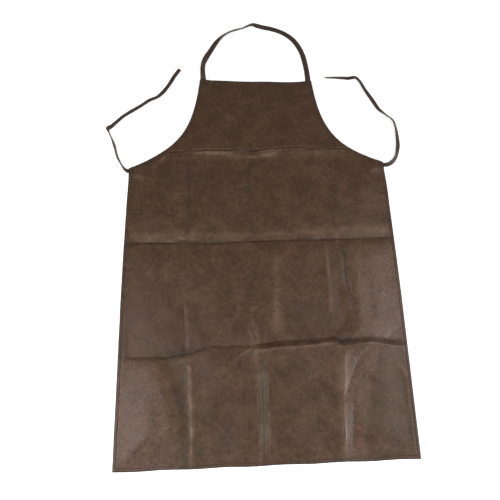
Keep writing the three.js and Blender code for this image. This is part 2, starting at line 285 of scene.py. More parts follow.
# Ridges and the seam's groove along the hem: (height, distance from the edge, half width)
HEM_RIDGES = [
    (0.15 * MM, 3.4 * MM, 1.6 * MM),
    (-0.30 * MM, SEAM_INSET, 0.9 * MM),
    (0.08 * MM, 10 * MM, 2.2 * MM),
]

# The sheet's grid: rows and columns by the edge, as distances from it, then a coarse step that is finer
# by the creases at (centre, reach)
EDGE_BANDS = np.array([0, 0.12, 0.45, 1.0, 1.7, 2.6, 3.6, 4.6, 5.4, 6.0, 6.5, 7.0, 7.7, 8.8, 10.2, 12.0,
                       13.4, 14.0, 14.6, 16.0, 18.5]) * MM
COARSE_STEP = 3.4 * MM
FINE_ROW_STEP = 1.4 * MM
FINE_COLUMN_STEP = 1.5 * MM
FINE_ROWS = [(CREASE_Y + 3 * MM, 14 * MM), (0.2535, 0.009), (-0.2165, 0.020)]
FINE_COLUMNS = [(-0.160, 0.020), (-0.012, 0.016), (0.165, 0.024)]


# --- numeric helpers ---

def smooth(t):
    t = np.clip(t, 0, 1)
    return t * t * (3 - 2 * t)


def lattice_noise(x, y, size, seed):
    """Smooth noise from -1 to 1 whose bumps are about size across."""
    count = 64
    values = np.random.default_rng(seed).uniform(-1, 1, (count, count))
    u, v = x / size + 17.3, y / size + 31.7
    i, j = np.floor(u).astype(int), np.floor(v).astype(int)
    fu, fv = smooth(u - i), smooth(v - j)
    left, right = i % count, (i + 1) % count
    low, high = j % count, (j + 1) % count
    near = values[left, low] * (1 - fu) + values[right, low] * fu
    far = values[left, high] * (1 - fu) + values[right, high] * fu
    return near * (1 - fv) + far * fv


def noise_along(along, size, seed):
    """Smooth noise that changes only along a line."""
    return lattice_noise(along, 0 * along, size, seed)


def line_places(line):
    """How far along the line each of its points is."""
    steps = np.linalg.norm(np.diff(line, axis=0), axis=1)
    return np.concatenate([[0], np.cumsum(steps)])


def to_polyline(x, y, line):
    """Each point's distance to the line, side of it (1 is right) and place along it, and its length."""
    line = np.asarray(line, float)
    best = np.full(np.shape(x), 1e9)
    side = np.ones(np.shape(x))
    along = np.zeros(np.shape(x))
    walked = 0.0
    for (ax, ay), (bx, by) in zip(line[:-1], line[1:]):
        dx, dy = bx - ax, by - ay
        length = math.hypot(dx, dy)
        t = np.clip(((x - ax) * dx + (y - ay) * dy) / length**2, 0, 1)
        off = np.hypot(x - ax - t * dx, y - ay - t * dy)
        nearer = off < best
        best = np.where(nearer, off, best)
        side = np.where(nearer, np.sign((x - ax) * dy - (y - ay) * dx), side)
        along = np.where(nearer, walked + t * length, along)
        walked += length
    return best, side, along, walked


def beside(x, y, points, wander, bend, seed, end_length, end_start):
    """Signed distance to a wandering line, the place along it, and a fade towards its ends."""
    off, side, along, length = to_polyline(x, y, np.array(points) * MM)
    distance = side * off + wander * noise_along(along, bend, seed)
    fade = smooth(np.minimum(along, length - along) / end_length + end_start)
    return distance, along, fade


# --- the panel's outline and how it lies ---

def armhole_line(inset=0.0):
    """The right armhole from the waist to the bib, moved into the leather by inset."""
    t = np.linspace(0, 1, 61)[:, None]
    waist = np.array([HALF_WIDTH, WAIST_Y])
    bib = np.array([HALF_BIB, BIB_Y])
    a, b = waist + ARMHOLE_WAIST_PULL, bib + ARMHOLE_BIB_PULL
    point = (1 - t)**3 * waist + 3 * (1 - t)**2 * t * a + 3 * (1 - t) * t**2 * b + t**3 * bib
    way = (1 - t)**2 * (a - waist) + 2 * (1 - t) * t * (b - a) + t**2 * (bib - b)
    way /= np.linalg.norm(way, axis=1, keepdims=True)
    return point + inset * np.stack([-way[:, 1], way[:, 0]], axis=1)


def half_width(y, inset=0.0):
    """Half the panel's width at height y, for the outline moved in by inset."""
    line = armhole_line(inset)
    curve = np.interp(y, line[:, 1], line[:, 0])
    return np.where(y < line[0, 1], HALF_WIDTH - inset, np.minimum(HALF_WIDTH - inset, curve))


def outline():
    """The flat cut, from its left hem corner round and back to it."""
    right = armhole_line()
    left = right[::-1] * [-1, 1]
    corners = [[-HALF_WIDTH, HEM_Y], [HALF_WIDTH, HEM_Y]]
    return np.vstack([corners, right, left, corners[:1]])


def edge_distance(x, y):
    return to_polyline(x, y, outline())[0]


def lay(x, y):
    """Where a point of the flat cut comes to lie, because the leather is a little skewed and stretched.

    The bib shifts to the right, the lower part spreads and the waist's corners move. The hem and the
    bib's top edge slope and ripple, and the top edge sags in its middle.
    """
    rise = smooth((y - WAIST_Y) / (BIB_Y - WAIST_Y))
    near_hem = 1 - smooth((y - HEM_Y) / 0.3)
    near_top = smooth((y - BIB_Y + 0.15) / 0.15) * (1 - smooth((y - BIB_Y) / 0.12))
    sag = np.clip(1 - (x / HALF_BIB)**2, 0, 1)
    low = smooth((WAIST_Y - y) / 0.35)
    waist = np.exp(-((y - WAIST_Y) / 0.05)**2)
    share = x / HALF_WIDTH
    laid_x = x + (1.3 * smooth((y - 0.1) / 0.1) + 2.7 * rise + 3.4 * low * share) * MM
    laid_x = laid_x - 2.2 * MM * (1 + share) * waist
    laid_y = y + x * (0.016 * near_hem - 0.034 * near_top) - 3.4 * MM * sag * near_top
    laid_y = laid_y + (2.0 * near_top - 2.4 * near_hem + 3.0 * share * waist) * MM
    laid_y = laid_y + 0.6 * MM * np.sin(x * 55) * (near_top + near_hem)
    return laid_x, laid_y


# --- the height of the leather ---

def beside_crease(x, y, number, points):
    return beside(x, y, points, wander=0.8 * MM, bend=0.016, seed=CREASE_WANDER_SEED + number,
                  end_length=0.014, end_start=0.2)


def crease_relief(x, y):
    """How far the creases lift or sink the leather: a sharp line that falls away on both sides."""
    total = np.zeros(np.shape(x))
    for number, (height, left_reach, right_reach, points) in enumerate(CREASES):
        distance, along, fade = beside_crease(x, y, number, points)
        strength = 0.8 + 0.6 * noise_along(along, 0.035, CREASE_HEIGHT_SEED + number)
        reach = np.where(distance > 0, right_reach, left_reach) * MM
        gap = np.sqrt(distance**2 + (0.7 * MM)**2)
        total += height * MM * strength * fade * np.exp(-gap / reach)
    return total


def patch_shares(x, y, border):
    """How much each point belongs to each patch, from 0 to 1 across a soft border."""
    shares = []
    for _, _, corners in PATCHES:
        ring = np.array(corners + corners[:1]) * MM
        off = to_polyline(x, y, ring)[0]
        crossings = np.zeros(np.shape(x), int)
        for (ax, ay), (bx, by) in zip(ring[:-1], ring[1:]):
            spans = (ay > y) != (by > y)
            slope = (bx - ax) / (by - ay) if by != ay else 0.0
            crossings += spans & (x < ax + (y - ay) * slope)
        inside = np.where(crossings % 2 == 1, off, -off)
        shares.append(smooth(0.5 + inside / border))
    return shares


def patch_tilt(x, y):
    """How far the patches rise, from nothing at each one's lowest corner."""
    total = np.zeros(np.shape(x))
    for share, (rise_x, rise_y, corners) in zip(patch_shares(x, y, 50 * MM), PATCHES):
        least = min(rise_x * cx + rise_y * cy for cx, cy in corners) * MM
        total += share * (rise_x * x + rise_y * y - least)
    return total


def swells(x, y):
    return sum(height * MM * lattice_noise(x, y, size, seed) for height, size, seed in SWELLS)


def sewn_lift(x, y):
    """The leather stands higher over each strap's sewn end."""
    total = np.zeros(np.shape(x))
    for sign in (-1, 1):
        over_neck = np.abs(x - sign * NECK_EXIT_X) - STRAP_WIDTH / 2
        past_neck = BIB_Y - SEWN_LENGTH - y
        over_tie = np.abs(y - TIE_EXIT_Y) - STRAP_WIDTH / 2
        past_tie = HALF_WIDTH - SEWN_LENGTH - sign * x
        for across, past in ((over_neck, past_neck), (over_tie, past_tie)):
            total = np.maximum(total, 1 - smooth(np.maximum(across, past) / (15 * MM)))
    return total * (STRAP_THICKNESS + 0.1 * MM)


def front_height(x, y):
    """Height of the front face over the floor."""
    edge = edge_distance(x, y)
    inner = smooth((edge - HEM_WIDTH) / (10 * MM))
    free = smooth(edge / (70 * MM))
    lifted = 3.6 * MM * smooth(edge / (75 * MM))
    relief = (crease_relief(x, y) + swells(x, y) + patch_tilt(x, y)) * (0.5 + 0.5 * free) + lifted
    hem = sum(rise * np.exp(-((edge - place) / half)**2) for rise, place, half in HEM_RIDGES)
    lowest = PANEL_THICKNESS + HEM_THICKNESS * (1 - inner) + hem * (1 - inner)
    # A soft floor keeps the leather above the ground, and a soft ceiling keeps the fold free
    over = relief + HEM_THICKNESS * inner
    over = 0.5 * (over + np.sqrt(over**2 + (0.4 * MM)**2))
    room = FOLD_ROOM + FOLD_SLOPE * np.abs(y - CREASE_Y) - PANEL_THICKNESS
    over = room * np.tanh(over / room)
    return lowest + over + sewn_lift(x, y)


def crease_wear_and_painted_light(x, y):
    """How far the leather is painted lighter (above zero) and darker (below): abraded crests with painted
    highlights, painted shade in the creases' valleys, and bands of painted highlight and shadow.
    """
    light = np.zeros(np.shape(x))
    dark = np.zeros(np.shape(x))
    for number, (height, _, _, points) in enumerate(CREASES):
        distance, along, fade = beside_crease(x, y, number, points)
        broken = smooth(0.55 + 0.9 * noise_along(along, 0.02, CREASE_MARK_SEED + number))
        # Crests get lighter, as abraded leather with a painted highlight; valleys get darker, as painted
        # shade along the crease line
        if height > 0:
            light = np.maximum(light, 0.30 * fade * broken * np.exp(-(distance / (2.4 * MM))**2))
        else:
            depth = min(1.0, max(0.0, abs(height) - 0.8) / 7)
            line = np.exp(-(distance / ((1.2 + 0.25 * abs(height)) * MM))**2)
            dark = np.maximum(dark, depth * fade * (0.55 + 0.45 * broken) * line)
    wear_and_painted_light = light - dark
    # Bands of painted highlight (above zero) and painted shadow (below)
    for number, (strength, width, points) in enumerate(BANDS):
        distance, along, fade = beside(x, y, points, wander=(0.6 + 0.25 * width) * MM, bend=0.025,
                                       seed=BAND_WANDER_SEED + number, end_length=0.020, end_start=0.25)
        spread = width * MM * (1 + 0.45 * noise_along(along, 0.035, BAND_WIDTH_SEED + number))
        broken = 0.75 + 0.35 * lattice_noise(x, y, 0.009, BAND_SPECKLE_SEED + number)
        broken = broken + 0.5 * noise_along(along, 0.03, BAND_STRENGTH_SEED + number)
        wear_and_painted_light += strength * fade * broken * np.exp(-(distance / spread)**2)
    return np.clip(wear_and_painted_light, -1, 1)


# --- meshes ---

def new_object(name, vertices, faces, materials, smooth_faces=True):
    mesh = bpy.data.meshes.new(name)
    mesh.from_pydata([tuple(v) for v in vertices], [], [tuple(f) for f in faces])
    for material in materials:
        mesh.materials.append(material)
    mesh.validate()
    if smooth_faces:
        mesh.polygons.foreach_set("use_smooth", [True] * len(mesh.polygons))
    mesh.update()
    obj = bpy.data.objects.new(name, mesh)
    bpy.context.scene.collection.objects.link(obj)
    return obj


def store_vector(obj, name, values):
    attribute = obj.data.attributes.new(name, "FLOAT_VECTOR", "POINT")
    attribute.data.foreach_set("vector", np.asarray(values, np.float32).ravel())


def store_number(obj, name, values):
    attribute = obj.data.attributes.new(name, "FLOAT", "POINT")
    attribute.data.foreach_set("value", np.asarray(values, np.float32).ravel())


def tube_faces(rings, sides):
    """Quads between rings of sides vertices, and one face over each end."""
    faces = []
    for r in range(rings - 1):
        for s in range(sides):
            a, b = r * sides + s, r * sides + (s + 1) % sides
            faces.append((a, b, b + sides, a + sides))
    last = (rings - 1) * sides
    faces.append(tuple(range(sides))[::-1])
    faces.append(tuple(last + s for s in range(sides)))
    return faces


# --- materials ---

class Nodes:
    """A short way to write a material's nodes."""

    def __init__(self, name):
        self.material = bpy.data.materials.new(name)
        self.material.use_nodes = True
        self.tree = self.material.node_tree
        self.shader = self.tree.nodes["Principled BSDF"]

    def add(self, kind, settings=None, **inputs):
        node = self.tree.nodes.new(kind)
        for key, value in (settings or {}).items():
            setattr(node, key, value)
        for key, value in inputs.items():
            self.put(node.inputs[key.replace("_", " ")], value)
        return node

    def put(self, socket, value):
        if isinstance(value, bpy.types.NodeSocket):
            self.tree.links.new(value, socket)
        else:
            socket.default_value = value

    def attribute(self, name):
        return self.add("ShaderNodeAttribute", {"attribute_name": name})

    def noise(self, place, scale, detail=4.0, roughness=0.55, distortion=0.0):
        node = self.add("ShaderNodeTexNoise", Vector=place, Scale=scale, Detail=detail,
                        Roughness=roughness, Distortion=distortion)
        return node.outputs["Fac"]

    def ramp(self, factor, stops):
        node = self.add("ShaderNodeValToRGB", Fac=factor)
        elements = node.color_ramp.elements
        while len(elements) < len(stops):
            elements.new(0.5)
        for element, (place, colour) in zip(elements, stops):
            element.position = place
            element.color = (*colour, 1)
        return node.outputs["Color"]

    def mix(self, factor, a, b, blend="MIX"):
        # By number, because the node has sockets of the same name for each type of data
        node = self.add("ShaderNodeMix", {"data_type": "RGBA", "blend_type": blend})
        self.put(node.inputs[0], factor)
        self.put(node.inputs[6], a)
        self.put(node.inputs[7], b)
        return node.outputs[2]

    def math(self, operation, a, b=0.0, clamp=False):
        node = self.add("ShaderNodeMath", {"operation": operation, "use_clamp": clamp})
        self.put(node.inputs[0], a)
        self.put(node.inputs[1], b)
        return node.outputs[0]

    def remap(self, value, low, high, to_low, to_high):
        node = self.add("ShaderNodeMapRange", Value=value)
        limits = {"From Min": low, "From Max": high, "To Min": to_low, "To Max": to_high}
        for key, number in limits.items():
            node.inputs[key].default_value = number
        return node.outputs["Result"]

    def bump(self, height, strength, distance, normal=None):
        node = self.add("ShaderNodeBump", Height=height, Strength=strength, Distance=distance)
        if normal is not None:
            self.put(node.inputs["Normal"], normal)
        return node.outputs["Normal"]


def grain_bump(nodes, place, depth, wrinkle):
    """Pebbled grain: small cells, finer pores and a soft, wrinkled skin."""
    cells = nodes.add("ShaderNodeTexVoronoi", {"feature": "SMOOTH_F1"}, Vector=place, Scale=620.0)
    pores = nodes.noise(place, 1500.0, 2.0)
    skin = nodes.noise(place, 150.0, 6.0, 0.6, 0.8)
    first = nodes.bump(skin, 0.7, wrinkle)
    second = nodes.bump(cells.outputs["Distance"], 0.35, depth, first)
    return nodes.bump(pores, 0.2, depth * 0.4, second)


def front_leather():
    """Oiled grain leather: mottled brown, abraded light on crests with painted highlights, painted shade
    in the creases, a painted sheen on the patches, and pressed at the hem, with dark edge paint, painted
    shade on the rolled edge and a painted highlight along it.
    """
    nodes = Nodes("leather_front")
    place = nodes.attribute("rest_place").outputs["Vector"]
    edge = nodes.attribute("edge_distance").outputs["Fac"]
    # Painted highlights above zero and painted shade below zero, along the creases and bands
    wear_and_painted_light = nodes.attribute("crease_wear_and_painted_light").outputs["Fac"]
    # The patches, which get a painted sheen and a lower roughness
    rubbed_and_sheen = nodes.attribute("rubbed_and_sheen").outputs["Fac"]
    broad = nodes.noise(place, 7.0, 5.0, 0.6, 0.6)
    cloudy = nodes.noise(place, 24.0, 6.0, 0.62, 0.3)
    fine = nodes.noise(place, 110.0, 5.0, 0.65)
    tone = nodes.ramp(cloudy, [(0.30, (0.031, 0.0155, 0.0082)), (0.50, (0.054, 0.028, 0.0138)),
                               (0.72, (0.087, 0.046, 0.0245))])
    tint = nodes.ramp(broad, [(0.32, (0.073, 0.033, 0.0200)), (0.50, (0.060, 0.032, 0.0175)),
                              (0.68, (0.053, 0.033, 0.0145))])
    colour = nodes.mix(0.45, tone, tint)
    speckle = nodes.remap(fine, 0.30, 0.70, 0.74, 1.24)
    shade = nodes.add("ShaderNodeCombineColor", Red=speckle, Green=speckle, Blue=speckle)
    colour = nodes.mix(1.0, colour, shade.outputs["Color"], "MULTIPLY")
    chafed = nodes.noise(place, 60.0, 6.0, 0.7, 1.2)
    # Painted highlight on the crests and lit slopes
    worn_and_highlight = nodes.math("MULTIPLY", wear_and_painted_light, nodes.remap(chafed, 0.36, 0.62, 0.25, 1.45), True)
    colour = nodes.mix(worn_and_highlight, colour, WORN_AND_HIGHLIGHT_COLOUR)
    # Painted shade in the creases and under folds, mixed near black
    painted_shade = nodes.math("MULTIPLY", wear_and_painted_light, -0.85, True)
    colour = nodes.mix(painted_shade, colour, PAINTED_SHADE_COLOUR)
    scuffs = nodes.noise(place, 55.0, 8.0, 0.75, 2.5)
    scuffed = nodes.remap(scuffs, 0.60, 0.75, 0.0, 0.30)
    colour = nodes.mix(scuffed, colour, SCUFF)
    pebbles = nodes.noise(place, 240.0, 6.0, 0.75, 0.5)
    streaks = nodes.noise(place, 32.0, 5.0, 0.7, 1.5)
    # Painted sheen on the patches, lighter and greyer in spots
    greyed_and_sheen = nodes.math("MULTIPLY", rubbed_and_sheen, nodes.remap(pebbles, 0.40, 0.62, 0.0, 0.42), True)
    greyed_and_sheen = nodes.math("MULTIPLY", greyed_and_sheen, nodes.remap(streaks, 0.36, 0.62, 0.30, 1.35), True)
    colour = nodes.mix(greyed_and_sheen, colour, GREYED_AND_SHEEN_COLOUR)
    # Along the edge: dark edge paint with painted shade on the rolled edge, a painted highlight over the
    # hem's roll, then a painted dark line of shade along the seam's groove
    edge_paint_and_painted_light = nodes.ramp(edge, [(0.0, (0.20,) * 3), (0.10, (0.35,) * 3), (0.15, (1.05,) * 3),
                                (0.29, (1.10,) * 3), (0.33, (0.58,) * 3), (0.37, (1.0,) * 3)])
    colour = nodes.mix(1.0, colour, edge_paint_and_painted_light, "MULTIPLY")
    nodes.put(nodes.shader.inputs["Base Color"], colour)
    rough = nodes.remap(cloudy, 0.3, 0.7, 0.33, 0.46)
    rough = nodes.math("SUBTRACT", rough, nodes.math("MULTIPLY", rubbed_and_sheen, 0.03))
    patchy = nodes.noise(place, 85.0, 7.0, 0.8, 0.6)
    for uneven, amount in ((patchy, 0.35), (fine, 0.25)):
        change = nodes.math("MULTIPLY", nodes.math("SUBTRACT", uneven, 0.5), amount)
        rough = nodes.math("ADD", rough, change)
    rough = nodes.math("ADD", rough, nodes.math("MULTIPLY", painted_shade, 0.25))
    rough = nodes.math("MAXIMUM", rough, 0.24)
    nodes.put(nodes.shader.inputs["Roughness"], rough)
    nodes.put(nodes.shader.inputs["Normal"], grain_bump(nodes, place, 0.00018, 0.0006))
    nodes.shader.inputs["IOR"].default_value = 1.48
    return nodes.material


def back_leather():
    """Suede: paler, matt and napped."""
    nodes = Nodes("leather_back")
    place = nodes.attribute("rest_place").outputs["Vector"]
    nap = nodes.noise(place, 260.0, 6.0, 0.7, 1.2)
    cloudy = nodes.noise(place, 16.0, 5.0, 0.6)
    colour = nodes.ramp(cloudy, [(0.3, (0.105, 0.070, 0.045)), (0.7, (0.165, 0.115, 0.078))])
    fleck = nodes.ramp(nap, [(0.35, (0.8,) * 3), (0.65, (1.15,) * 3)])
    nodes.put(nodes.shader.inputs["Base Color"], nodes.mix(1.0, colour, fleck, "MULTIPLY"))
    nodes.put(nodes.shader.inputs["Roughness"], nodes.remap(nap, 0.3, 0.7, 0.82, 0.96))
    nodes.put(nodes.shader.inputs["Normal"], nodes.bump(nap, 0.6, 0.0003))
    nodes.shader.inputs["Sheen Weight"].default_value = 0.25
    nodes.shader.inputs["Sheen Roughness"].default_value = 0.5
    return nodes.material


def strap_leather():
    """Thinner, finer leather with dark cut edges."""
    nodes = Nodes("strap_leather")
    place = nodes.attribute("rest_place").outputs["Vector"]
    rim = nodes.attribute("edge_distance").outputs["Fac"]
    cloudy = nodes.noise(place, 45.0, 5.0, 0.6)
    fine = nodes.noise(place, 220.0, 4.0, 0.6)
    colour = nodes.ramp(cloudy, [(0.3, (0.030, 0.018, 0.012)), (0.7, (0.050, 0.031, 0.022))])
    speckle = nodes.ramp(fine, [(0.3, (0.85,) * 3), (0.7, (1.15,) * 3)])
    colour = nodes.mix(1.0, colour, speckle, "MULTIPLY")
    dark_rim = nodes.ramp(rim, [(0.0, (0.35,) * 3), (0.06, (0.55,) * 3), (0.10, (1.0,) * 3)])
    nodes.put(nodes.shader.inputs["Base Color"], nodes.mix(1.0, colour, dark_rim, "MULTIPLY"))
    nodes.put(nodes.shader.inputs["Roughness"], nodes.remap(fine, 0.3, 0.7, 0.48, 0.64))
    nodes.put(nodes.shader.inputs["Normal"], grain_bump(nodes, place, 0.00010, 0.0003))
    return nodes.material


def thread_material():
    """Dark twisted thread."""
    nodes = Nodes("thread")
    place = nodes.add("ShaderNodeTexCoord").outputs["Object"]
    twist = nodes.add("ShaderNodeTexWave", {"bands_direction": "DIAGONAL"}, Vector=place, Scale=900.0,
                      Distortion=0.6)
    ply = twist.outputs["Fac"]
    colour = nodes.ramp(ply, [(0.2, (0.012, 0.008, 0.006)), (0.8, (0.034, 0.022, 0.016))])
    nodes.put(nodes.shader.inputs["Base Color"], colour)
    nodes.put(nodes.shader.inputs["Roughness"], nodes.remap(ply, 0, 1, 0.55, 0.75))
    nodes.put(nodes.shader.inputs["Normal"], nodes.bump(ply, 0.5, 0.0001))
    return nodes.material


LEATHER = front_leather()
SUEDE = back_leather()
STRAP = strap_leather()
THREAD = thread_material()


# --- camera, light and floor ---

def aim(obj, place, target, roll=0.0):
    """Put a camera or light at place, facing target, turned by roll about its view."""
    forward = (target - place).normalized()
    right = forward.cross(Vector((0, 0, 1))).normalized()
    up = right.cross(forward)
    turned_right = right * math.cos(roll) + up * math.sin(roll)
    turned_up = up * math.cos(roll) - right * math.sin(roll)
    basis = Matrix((turned_right, turned_up, -forward)).transposed()
    obj.matrix_world = Matrix.Translation(place) @ basis.to_4x4()


def add_camera():
    data = bpy.data.cameras.new("camera")
    data.lens = CAMERA_LENS
    data.sensor_width = SENSOR_WIDTH
    camera = bpy.data.objects.new("camera", data)
    bpy.context.scene.collection.objects.link(camera)
    aim(camera, CAMERA_AT, CAMERA_AIM, CAMERA_ROLL)
    bpy.context.scene.camera = camera


def add_softbox(name, place, target, width, height, watts, colour):
    data = bpy.data.lights.new(name, "AREA")
    data.shape = "RECTANGLE"
    data.size = width
    data.size_y = height
    data.energy = watts
    data.color = colour
    light = bpy.data.objects.new(name, data)
    bpy.context.scene.collection.objects.link(light)
    aim(light, Vector(place), Vector(target))


def add_studio():
    world = bpy.data.worlds.new("studio")
    world.use_nodes = True
    background = world.node_tree.nodes["Background"]
    background.inputs["Color"].default_value = WORLD_COLOUR
    background.inputs["Strength"].default_value = WORLD_STRENGTH
    bpy.context.scene.world = world
    for softbox in SOFTBOXES:
        add_softbox(*softbox)
    bpy.context.scene.view_settings.view_transform = "Standard"
    corners = [(-1, -1), (1, -1), (1, 1), (-1, 1)]
    vertices = [(x * FLOOR_HALF, y * FLOOR_HALF, FLOOR_Z) for x, y in corners]
    nodes = Nodes("floor")
    nodes.shader.inputs["Base Color"].default_value = (0.93, 0.93, 0.93, 1)
    nodes.shader.inputs["Roughness"].default_value = 0.9
    nodes.shader.inputs["Specular IOR Level"].default_value = 0.1
    nodes.shader.inputs["Emission Color"].default_value = (1, 1, 1, 1)
    nodes.shader.inputs["Emission Strength"].default_value = 0.4
    floor = new_object("floor", vertices, [(0, 1, 2, 3)], [nodes.material], False)


# --- straps ---

def resample(points, spacing):
    """A smooth line through given points, as evenly spaced points with everything they carry."""
    points = np.asarray(points, float)
    steps = np.maximum(np.linalg.norm(np.diff(points[:, :2], axis=0), axis=1), 1e-6)
    at = np.concatenate([[0], np.cumsum(steps)])
    slope = 0.8 * np.gradient(points, at, axis=0)
    fine_at = np.arange(0, at[-1] + spacing / 2, spacing)
    i = np.clip(np.searchsorted(at, fine_at, "right") - 1, 0, len(at) - 2)
    h = (at[i + 1] - at[i])[:, None]
    t = (fine_at - at[i])[:, None] / h
    first = (2 * t**3 - 3 * t**2 + 1) * points[i] + (t**3 - 2 * t**2 + t) * h * slope[i]
    second = (3 * t**2 - 2 * t**3) * points[i + 1] + (t**3 - t**2) * h * slope[i + 1]
    line = first + second
    line[:, 2] = np.interp(fine_at, at, points[:, 2])
    return line


def strap_section():
    """The strap's section as (across, up) pairs from -1 to 1, with rounded edges."""
    across = np.linspace(-1, 1, 9) * (1 - STRAP_THICKNESS / STRAP_WIDTH * 0.6)
    top = [(a, 1.0) for a in across[::-1]]
    bottom = [(a, -1.0) for a in across]
    left = [(-0.965, 0.72), (-1.0, 0.0), (-0.965, -0.72)]
    right = [(0.965, -0.72), (1.0, 0.0), (0.965, 0.72)]
    return np.array(top + left + bottom + right)


def strap_piece(name, points, seed, shown_width, tip_slant=0.0):
    """A flat strap along points of (x, y, roll), lying on the floor, with its centreline and length."""
    line = resample(points, STRAP_STEP)
    flat = line[:, :2]
    way = np.gradient(flat, axis=0)
    way /= np.linalg.norm(way, axis=1, keepdims=True)
    along = line_places(flat)
    roll = np.radians(line[:, 2])
    half, thick = shown_width / 2, STRAP_THICKNESS / 2
    width = half * (1 + 0.05 * noise_along(along, 0.03, seed))
    cup = 0.5 * MM * noise_along(along, 0.045, seed + 1)
    height = width * np.abs(np.sin(roll)) + thick * np.cos(roll) + np.abs(cup)
    section = strap_section()
    vertices, places, rims = [], [], []
    for k in range(len(flat)):
        forward = np.array([way[k, 0], way[k, 1], 0])
        across = np.array([-way[k, 1], way[k, 0], 0])
        up = np.array([0, 0, 1.0])
        wide = across * math.cos(roll[k]) + up * math.sin(roll[k])
        out = up * math.cos(roll[k]) - across * math.sin(roll[k])
        centre = np.array([flat[k, 0], flat[k, 1], height[k]])
        slant = tip_slant * smooth((along[k] - along[-1] + 10 * MM) / (10 * MM))
        for a, b in section:
            lift = b * thick + cup[k] * (1 - a * a)
            vertices.append(centre + wide * a * width[k] + out * lift + forward * slant * a)
            # The seed sets each strap apart in the leather's noise
            places.append((along[k], a * half, 0.3 * seed + b * thick))
            rims.append((1 - abs(a)) * half / (10 * MM))
    faces = tube_faces(len(flat), len(section))
    strap = new_object(name, vertices, faces, [STRAP])
    store_vector(strap, "rest_place", places)
    store_number(strap, "edge_distance", rims)
    centreline = np.column_stack([flat, height])
    return strap, centreline, along[-1]


def laid_point(x, y):
    """lay for one point, as plain numbers."""
    laid_x, laid_y = lay(np.array(x), np.array(y))
    return float(laid_x), float(laid_y)


def add_neck_strap():
    """The neck strap, from its sewn left end round the loop to its sewn right end."""
    points = []
    for x, y, roll in NECK_STRAP_ROUTE:
        rise = float(smooth(y / 80))
        right = float(smooth(x / 40))
        slip_x = rise * (NECK_SLIP[0] + NECK_RIGHT_SLIP[0] * right)
        slip_y = rise * (NECK_SLIP[1] + NECK_RIGHT_SLIP[1] * right)
        points.append((*laid_point((x + slip_x) * MM, BIB_Y + (y + slip_y) * MM), roll))
    depths = (SEWN_LENGTH, SEWN_LENGTH / 2)
    left_end = [(*laid_point(-NECK_EXIT_X, BIB_Y - depth), 0) for depth in depths]
    right_end = [(*laid_point(NECK_EXIT_X, BIB_Y - depth), 0) for depth in depths[::-1]]
    points = left_end + points + right_end
    strap, centreline, length = strap_piece("neck_strap_leather", points, 11, NECK_WIDTH)
    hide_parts("neck_strap", "neck_strap_left_end", "neck_strap_right_end")
    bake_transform(strap)


def add_tie(side, sign, route, slips, seed):
    """A tie, from its sewn end at the panel's side along its route."""
    shift_x, shift_y = laid_point(sign * HALF_WIDTH, TIE_EXIT_Y + 2 * MM)
    slip_x, slip_y, tip_slip = slips
    points = [(shift_x - sign * depth, shift_y, 0) for depth in (SEWN_LENGTH, SEWN_LENGTH / 2)]
    for x, y, roll in route:
        slip = float(smooth(y / 60))
        laid_x = x + slip * slip_x + tip_slip * float(smooth((y - 190) / 70))
        points.append((shift_x + laid_x * MM, shift_y + (y + slip * slip_y) * MM, roll))
    slant = 2 * MM * -sign
    strap, centreline, length = strap_piece(f"{side}_tie_leather", points, seed, TIE_WIDTH, slant)
    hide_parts(f"{side}_tie", f"{side}_tie_sewn_end")
    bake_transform(strap)


# --- the leather sheet ---

def stepped(low, high, fine_zones, coarse, fine):
    """Places from low to high, closer together inside the zones (centre, reach)."""
    places = [low]
    while places[-1] < high - coarse:
        here = places[-1]
        near = any(abs(here - centre) < reach for centre, reach in fine_zones)
        places.append(here + (fine if near else coarse))
    return np.array(places[:-1] + [high])


def sheet_rows():
    """Heights of the grid's rows, from the hem to the bib."""
    band = EDGE_BANDS[-1]
    middle = stepped(HEM_Y + band, BIB_Y - band, FINE_ROWS, COARSE_STEP, FINE_ROW_STEP)
    return np.concatenate([HEM_Y + EDGE_BANDS[:-1], middle, BIB_Y - EDGE_BANDS[-2::-1]])


def sheet_columns():
    """Places across the panel's middle, as shares of its half width there."""
    half = HALF_WIDTH - EDGE_BANDS[-1]
    return stepped(-half, half, FINE_COLUMNS, COARSE_STEP, FINE_COLUMN_STEP) / half


def sheet_grid():
    """Places of the flat cut, in rows from the hem to the bib whose ends follow the outline."""
    rows, shares = sheet_rows(), sheet_columns()
    left = np.array([-half_width(rows, band) for band in EDGE_BANDS[:-1]]).T
    inner = half_width(rows, EDGE_BANDS[-1])
    middle = inner[:, None] * shares[None, :]
    x = np.concatenate([left, middle, -left[:, ::-1]], axis=1)
    y = np.repeat(rows[:, None], x.shape[1], axis=1)
    return x, y


def sheet_heights(x, y):
    """Front and back heights, which meet halfway down the rolled edge."""
    edge = edge_distance(x, y)
    front = front_height(x, y)
    pocket = sewn_lift(x, y)
    hem_step = 1 - smooth((edge - HEM_WIDTH + 0.3 * MM) / (0.6 * MM))
    thickness = PANEL_THICKNESS + HEM_THICKNESS * hem_step
    back = front - thickness
    # The back clears each strap's sewn end, and stays off the floor
    back = np.maximum(back, pocket * 0.98 * (edge < HEM_WIDTH * 3))
    back = np.maximum(back, 0.05 * MM)
    turn = np.sqrt(np.clip(1 - (1 - np.clip(edge / EDGE_RADIUS, 0, 1))**2, 0, 1))
    middle = (front + back) / 2
    return middle + (front - middle) * turn, middle + (back - middle) * turn


